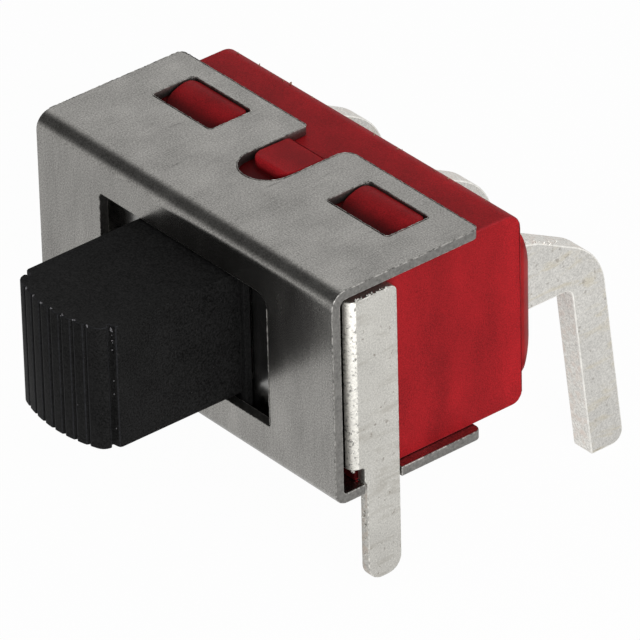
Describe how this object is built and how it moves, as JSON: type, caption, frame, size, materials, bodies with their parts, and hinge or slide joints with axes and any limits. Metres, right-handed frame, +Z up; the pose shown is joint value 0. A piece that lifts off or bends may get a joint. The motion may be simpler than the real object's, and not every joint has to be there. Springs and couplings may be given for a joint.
{
  "type": "slide switch",
  "caption": "Right-angle slide switch: folded metal cover, moulded housing, U bracket with board legs, ribbed sliding knob and curved board terminals.",
  "frame": {"origin": "Middle of the switch's length, in the plane of the cover's front plate and on the board's surface under the lower flange", "axes": "+X along the switch, +Y rearward from the knob towards the terminals, +Z up from the board"},
  "size_m": [0.0126, 0.0161, 0.0101],
  "materials": {
    "steel_cover": "fine satin sheet",
    "tinned_steel": "dull tin plate",
    "red_moulding": "satin moulded thermoset",
    "black_nylon": "satin moulded nylon",
    "plunger_brass": "turned",
    "spring_steel": "drawn wire",
    "contact_alloy": "rolled copper alloy",
    "silver_contact": "silver plate",
    "tinned_copper": "dull tin plate",
    "red_epoxy": "glossy potting"
  },
  "bodies": {
    "base": {"cover": "steel_cover", "bracket": "tinned_steel", "housing": "red_moulding", "terminal_left": "tinned_copper", "terminal_centre": "tinned_copper", "terminal_right": "tinned_copper", "contact_left": "silver_contact", "contact_right": "silver_contact", "seal": "red_epoxy"},
    "slider": {"actuator": "black_nylon", "spring": "spring_steel"},
    "detent": {"plunger": "plunger_brass"},
    "contact_rocker": {"rocker": "contact_alloy", "rocker_contact_left": "silver_contact", "rocker_contact_right": "silver_contact"}
  },
  "joints": [
    {"name": "slide", "type": "slide", "parent": "base", "child": "slider", "axis": [1, 0, 0], "range_m": [-0.0013, 0.0013]},
    {"name": "plunger_press", "type": "slide", "parent": "slider", "child": "detent", "axis": [0, 1, 0], "range_m": [-0.0003, 0], "stiffness_N_per_m": 60, "deforming": ["spring"]},
    {"name": "rocker_tilt", "type": "hinge", "parent": "base", "child": "contact_rocker", "pos_m": [0, 0.00505, 0.00334], "axis": [0, 0, 1], "range_deg": [-8, 8]}
  ],
  "couplings": [
    {"joint": "rocker_tilt", "follows": "slide", "rad_per_m": 107.3}
  ]
}
